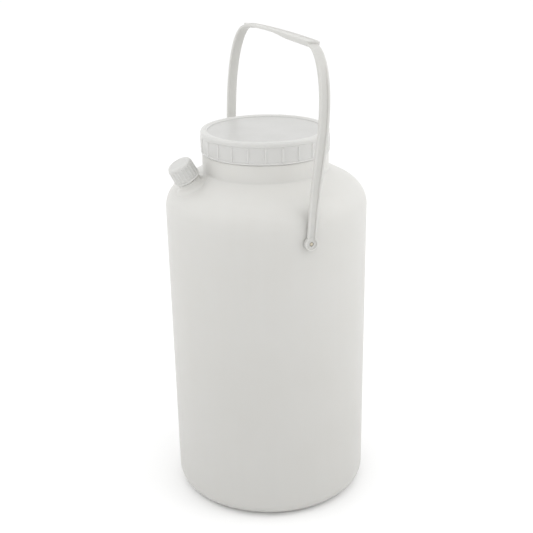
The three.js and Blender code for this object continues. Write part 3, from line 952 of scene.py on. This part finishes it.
# ------------------------------------------------------------------ bail handle
def spline(points, per_span):
    """A centripetal Catmull-Rom line through the points."""
    pts = [Vector(p) for p in points]
    pts = [pts[0] * 2 - pts[1], *pts, pts[-1] * 2 - pts[-2]]
    out = []
    for i in range(1, len(pts) - 2):
        p0, p1, p2, p3 = pts[i - 1 : i + 3]
        t0 = 0.0
        t1 = t0 + math.sqrt((p1 - p0).length)
        t2 = t1 + math.sqrt((p2 - p1).length)
        t3 = t2 + math.sqrt((p3 - p2).length)
        for k in range(per_span):
            t = t1 + (t2 - t1) * k / per_span
            a1 = p0 * ((t1 - t) / (t1 - t0)) + p1 * ((t - t0) / (t1 - t0))
            a2 = p1 * ((t2 - t) / (t2 - t1)) + p2 * ((t - t1) / (t2 - t1))
            a3 = p2 * ((t3 - t) / (t3 - t2)) + p3 * ((t - t2) / (t3 - t2))
            b1 = a1 * ((t2 - t) / (t2 - t0)) + a2 * ((t - t0) / (t2 - t0))
            b2 = a2 * ((t3 - t) / (t3 - t1)) + a3 * ((t - t1) / (t3 - t1))
            out.append(b1 * ((t2 - t) / (t2 - t1)) + b2 * ((t - t1) / (t2 - t1)))
    out.append(pts[-2])
    return out


def strap_section(wide, thick, groove):
    """Across the strap: (sideways, outwards) round its grooved outer face and its back."""
    half, back = wide / 2, thick / 2
    floor, lip = back - groove, half - CHANNEL_EDGE
    corners = [
        (0, -back, 0), (half, -back, 0.7), (half, back, 0.3), (lip, back, 0.25),
        (lip - 0.25, floor, 0.25), (0, floor, 0),
    ]
    right = rounded(corners, 3)
    return right + [(-x, y) for x, y in right[-2:0:-1]]


def handle_leg(side):
    """One strap, from the eye up into the end of the grip."""
    line = spline(LEG_PATH, 14)
    loops = []
    for i, at in enumerate(line):
        along = (line[min(i + 1, len(line) - 1)] - line[max(i - 1, 0)]).normalized()
        out = Vector((along.y, -along.x))
        wide = STRAP_NECK + (STRAP_WIDE - STRAP_NECK) * smooth_step(*STRAP_WIDENS, at.y)
        thinned = smooth_step(*STRAP_THINS, at.y)
        thick = STRAP_THICK + (STRAP_TOP_THICK - STRAP_THICK) * thinned
        faded = smooth_step(*CHANNEL_FADES, at.y)
        groove = CHANNEL_DEEP - (CHANNEL_DEEP - CHANNEL_LEAST) * faded
        loops.append(
            [
                (side * (at.x + out.x * n), w, at.y + out.y * n)
                for w, n in strap_section(wide, thick, groove)
            ]
        )
    return loft("handle_leg", loops)


def handle_eye(side):
    """The round end of a strap, with a raised ring that the strap's groove runs through."""
    inner, outer = EYE_X - STRAP_THICK / 2, EYE_X + STRAP_THICK / 2
    floor = outer - CHANNEL_DEEP + EYE_FLOOR_RISE
    profile = rounded(
        [
            (0, inner, 0), (EYE_R, inner, 0.4), (EYE_R, outer + EYE_RIM, 0.35),
            (EYE_R - 1.15, outer + EYE_RIM, 0.3), (EYE_R - 1.4, floor, 0.3), (0, floor, 0),
        ],
        4,
    )
    eye = revolve("handle_eye", profile, even(72))
    way = loft("groove_end", [
        [(-z, y, x) for z, y in ((2.4, -1.9), (5.6, -2.1), (5.6, 2.1), (2.4, 1.9))]
        for x in (floor - 0.05, outer + 2)
    ])
    if side < 0:
        place(way, Matrix.Rotation(math.pi, 4, "Z"))
    combine(eye, way, "DIFFERENCE")
    return place(eye, to_side(side))


def grip_section(wide, edge, channel, web):
    """A flat web between two edges, grooved above and below."""
    half = wide / 2
    right = rounded(
        [
            (0, -web, 0), (half - 1.4, -web, 0.15), (half - 1.2, -edge, 0.15),
            (half, -edge, 0.4), (half, 0, 0.45), (half - 1.2, 0, 0.3),
            (half - 1.5, -channel, 0.2), (0, -channel, 0),
        ],
        4,
    )
    return right + [(-x, y) for x, y in right[-2:0:-1]]


def handle_grip():
    """The bar between the straps; its two edges are deeper towards the right end."""
    loops = []
    steps = 130
    for i in range(steps + 1):
        x = -GRIP_HALF + 2 * GRIP_HALF * i / steps
        near = GRIP_HALF - abs(x)
        round_end = math.sqrt(1 - (1 - min(near / GRIP_TIP_LONG, 1)) ** 2)
        wide = GRIP_WIDE * (GRIP_TIP_WIDTH + (1 - GRIP_TIP_WIDTH) * round_end)
        top = GRIP_TOP - GRIP_SAG * (x / GRIP_HALF) ** 2
        edge = GRIP_EDGE + GRIP_DEEPER * smooth_step(DEEPER_FROM_X, DEEPER_TO_X, x)
        hollow = smooth_step(GRIP_END - 0.6, GRIP_END + 0.6, near)
        channel = CHANNEL_LEAST + (GRIP_CHANNEL - CHANNEL_LEAST) * hollow
        web = edge - CHANNEL_LEAST + (GRIP_WEB - edge + CHANNEL_LEAST) * hollow
        section = grip_section(wide, edge, channel, web)
        loops.append([(x, GRIP_SHIFT + w, top + z) for w, z in section])
    return loft("handle_grip", loops)


def bail_handle():
    handle = handle_grip()
    for side in (-1, 1):
        combine(handle, handle_leg(side), "UNION")
        combine(handle, handle_eye(side), "UNION")
    for side in (-1, 1):
        r, low, high = PIN_R + GAP, EYE_X - 10, EYE_X + 10
        hole = revolve("eye_hole", [(0, low), (r, low), (r, high), (0, high)], even(48))
        combine(handle, place(hole, to_side(side)), "DIFFERENCE")
    place(handle, PIVOT_FRAME @ Matrix.Rotation(HANDLE_LEAN, 4, "X"))
    tidy_mesh(handle)
    handle.name = "strap_handle"
    finish_piece(handle, "handle", ["bail_handle"], STRAP, crease=50)


def pivot_pin(side, node):
    profile = rounded(
        [
            (0, PIN_INNER, 0), (PIN_FOOT_R, PIN_INNER, 0.3), (PIN_FOOT_R, PIN_STEP, 0.2),
            (PIN_R, PIN_STEP, 0.1), (PIN_R, PIN_OUTER, 0.75), (PIN_R - 0.9, PIN_OUTER, 0.2),
            (0, PIN_OUTER - 0.12, 0),
        ],
        5,
    )
    pin = revolve("turned_" + node.split("_", 1)[1], profile, even(56))
    place(pin, PIVOT_FRAME @ to_side(side))
    finish_piece(pin, "bottle", [node], BRASS)


bottle_body()
wide_lid()
lid_gasket()
spout_cap()
spout_liner()
bail_handle()
pivot_pin(-1, "handle_pivot_pin_left")
pivot_pin(1, "handle_pivot_pin_right")


# ------------------------------------------------------------------ studio
# name, azimuth and elevation in degrees, distance and side in metres, power in watts
LIGHTS = [
    ("soft_right", 147, 38, 1.1, 0.8, 2.4),
    ("soft_left", -13, 38, 1.1, 0.8, 1.4),
    ("soft_front", 55, 48, 1.2, 0.9, 0.6),
]
LIGHT_AIM = Vector((0, 0, 0.18))
WORLD_STRENGTH = 1.09


def floor():
    n = Nodes("pale_floor")
    shade = n.ramp(n.noise(3.0, 3.0), [(0.3, (0.93, 0.93, 0.93)), (0.7, (0.95, 0.95, 0.95))])
    n.link(shade, n.shader.inputs["Base Color"])
    n.link(n.between(n.noise(40.0), 0.5, 0.6), n.shader.inputs["Roughness"])
    half = 8000.0
    corners = [(-half, -half, 0), (half, -half, 0), (half, half, 0), (-half, half, 0)]
    plane = mesh_object("floor", corners, [(0, 1, 2, 3)])
    plane.data.materials.append(n.material)


def area_light(name, azimuth, elevation, distance, side, power):
    data = bpy.data.lights.new(name, "AREA")
    data.shape = "RECTANGLE"
    data.size = data.size_y = side
    data.energy = power
    lamp = bpy.data.objects.new(name, data)
    bpy.context.scene.collection.objects.link(lamp)
    back = from_angles(azimuth, elevation)
    lamp.location = LIGHT_AIM + back * distance
    lamp.rotation_mode = "QUATERNION"
    lamp.rotation_quaternion = back.to_track_quat("Z", "Y")


def studio():
    floor()
    world = bpy.data.worlds.new("studio")
    world.use_nodes = True
    background = world.node_tree.nodes["Background"]
    background.inputs["Color"].default_value = (1.0, 1.0, 1.0, 1.0)
    background.inputs["Strength"].default_value = WORLD_STRENGTH
    bpy.context.scene.world = world
    for light in LIGHTS:
        area_light(*light)


studio()
bpy.context.scene.view_settings.view_transform = "Standard"
